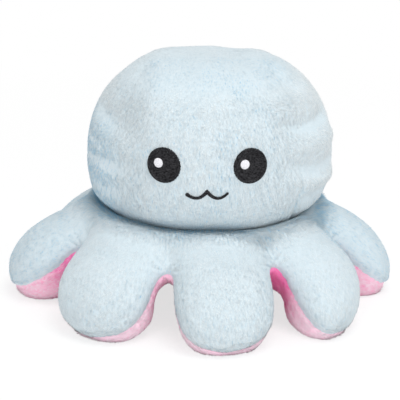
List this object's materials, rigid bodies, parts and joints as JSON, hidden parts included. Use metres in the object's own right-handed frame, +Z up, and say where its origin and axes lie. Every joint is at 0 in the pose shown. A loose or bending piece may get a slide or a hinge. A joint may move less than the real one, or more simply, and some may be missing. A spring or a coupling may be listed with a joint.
{
  "type": "plush octopus",
  "caption": "Reversible plush octopus: stuffed round head with an embroidered face over a skirt of stubby stuffed tentacles, pale blue outside and pink underneath, with a hand pocket below.",
  "frame": {"origin": "on the floor under the middle of the skirt's box", "axes": "+Z up, the face looks along -Y, +X to the right as seen from the front"},
  "size_m": [0.2377, 0.2363, 0.1515],
  "materials": {
    "pile_blue": "short soft pile, pale blue",
    "pile_pink": "short soft pile, pink",
    "fibrefill": "loose white polyester fibre",
    "thread_black": "satin stitch embroidery thread, black",
    "thread_white": "satin stitch embroidery thread, white"
  },
  "bodies": {
    "body": {"head_front_panel": "pile_blue", "head_left_panel": "pile_blue", "head_right_panel": "pile_blue", "head_back_panel": "pile_blue", "head_stuffing": "fibrefill", "pocket_front_panel": "pile_pink", "pocket_left_panel": "pile_pink", "pocket_right_panel": "pile_pink", "pocket_back_panel": "pile_pink", "skirt_top_ring": "pile_blue", "skirt_under_ring": "pile_pink", "skirt_ring_stuffing": "fibrefill", "eye_left": "thread_black", "eye_right": "thread_black", "eye_left_glint": "thread_white", "eye_right_glint": "thread_white", "mouth": "thread_black"},
    "tentacle_1": {"tentacle_1_top": "pile_blue", "tentacle_1_sole": "pile_pink", "tentacle_1_stuffing": "fibrefill"},
    "tentacle_2": {"tentacle_2_top": "pile_blue", "tentacle_2_sole": "pile_pink", "tentacle_2_stuffing": "fibrefill"},
    "tentacle_3": {"tentacle_3_top": "pile_blue", "tentacle_3_sole": "pile_pink", "tentacle_3_stuffing": "fibrefill"},
    "tentacle_4": {"tentacle_4_top": "pile_blue", "tentacle_4_sole": "pile_pink", "tentacle_4_stuffing": "fibrefill"},
    "tentacle_5": {"tentacle_5_top": "pile_blue", "tentacle_5_sole": "pile_pink", "tentacle_5_stuffing": "fibrefill"},
    "tentacle_6": {"tentacle_6_top": "pile_blue", "tentacle_6_sole": "pile_pink", "tentacle_6_stuffing": "fibrefill"},
    "tentacle_7": {"tentacle_7_top": "pile_blue", "tentacle_7_sole": "pile_pink", "tentacle_7_stuffing": "fibrefill"},
    "tentacle_8": {"tentacle_8_top": "pile_blue", "tentacle_8_sole": "pile_pink", "tentacle_8_stuffing": "fibrefill"}
  },
  "joints": [
    {"name": "tentacle_1_lift", "type": "hinge", "parent": "body", "child": "tentacle_1", "pos_m": [0.00782, -0.07439, 0.0587], "axis": [-0.9945, -0.1045, 0], "range_deg": [0, 50], "stiffness_Nm_per_rad": 0.08},
    {"name": "tentacle_2_lift", "type": "hinge", "parent": "body", "child": "tentacle_2", "pos_m": [0.05813, -0.04707, 0.0587], "axis": [-0.6293, -0.7771, 0], "range_deg": [0, 50], "stiffness_Nm_per_rad": 0.08},
    {"name": "tentacle_3_lift", "type": "hinge", "parent": "body", "child": "tentacle_3", "pos_m": [0.07439, 0.00782, 0.0587], "axis": [0.1045, -0.9945, 0], "range_deg": [0, 50], "stiffness_Nm_per_rad": 0.08},
    {"name": "tentacle_4_lift", "type": "hinge", "parent": "body", "child": "tentacle_4", "pos_m": [0.04707, 0.05813, 0.0587], "axis": [0.7771, -0.6293, 0], "range_deg": [0, 50], "stiffness_Nm_per_rad": 0.08},
    {"name": "tentacle_5_lift", "type": "hinge", "parent": "body", "child": "tentacle_5", "pos_m": [-0.00782, 0.07439, 0.0587], "axis": [0.9945, 0.1045, 0], "range_deg": [0, 50], "stiffness_Nm_per_rad": 0.08},
    {"name": "tentacle_6_lift", "type": "hinge", "parent": "body", "child": "tentacle_6", "pos_m": [-0.05813, 0.04707, 0.0587], "axis": [0.6293, 0.7771, 0], "range_deg": [0, 50], "stiffness_Nm_per_rad": 0.08},
    {"name": "tentacle_7_lift", "type": "hinge", "parent": "body", "child": "tentacle_7", "pos_m": [-0.07439, -0.00782, 0.0587], "axis": [-0.1045, 0.9945, 0], "range_deg": [0, 50], "stiffness_Nm_per_rad": 0.08},
    {"name": "tentacle_8_lift", "type": "hinge", "parent": "body", "child": "tentacle_8", "pos_m": [-0.04707, -0.05813, 0.0587], "axis": [-0.7771, 0.6293, 0], "range_deg": [0, 50], "stiffness_Nm_per_rad": 0.08}
  ]
}
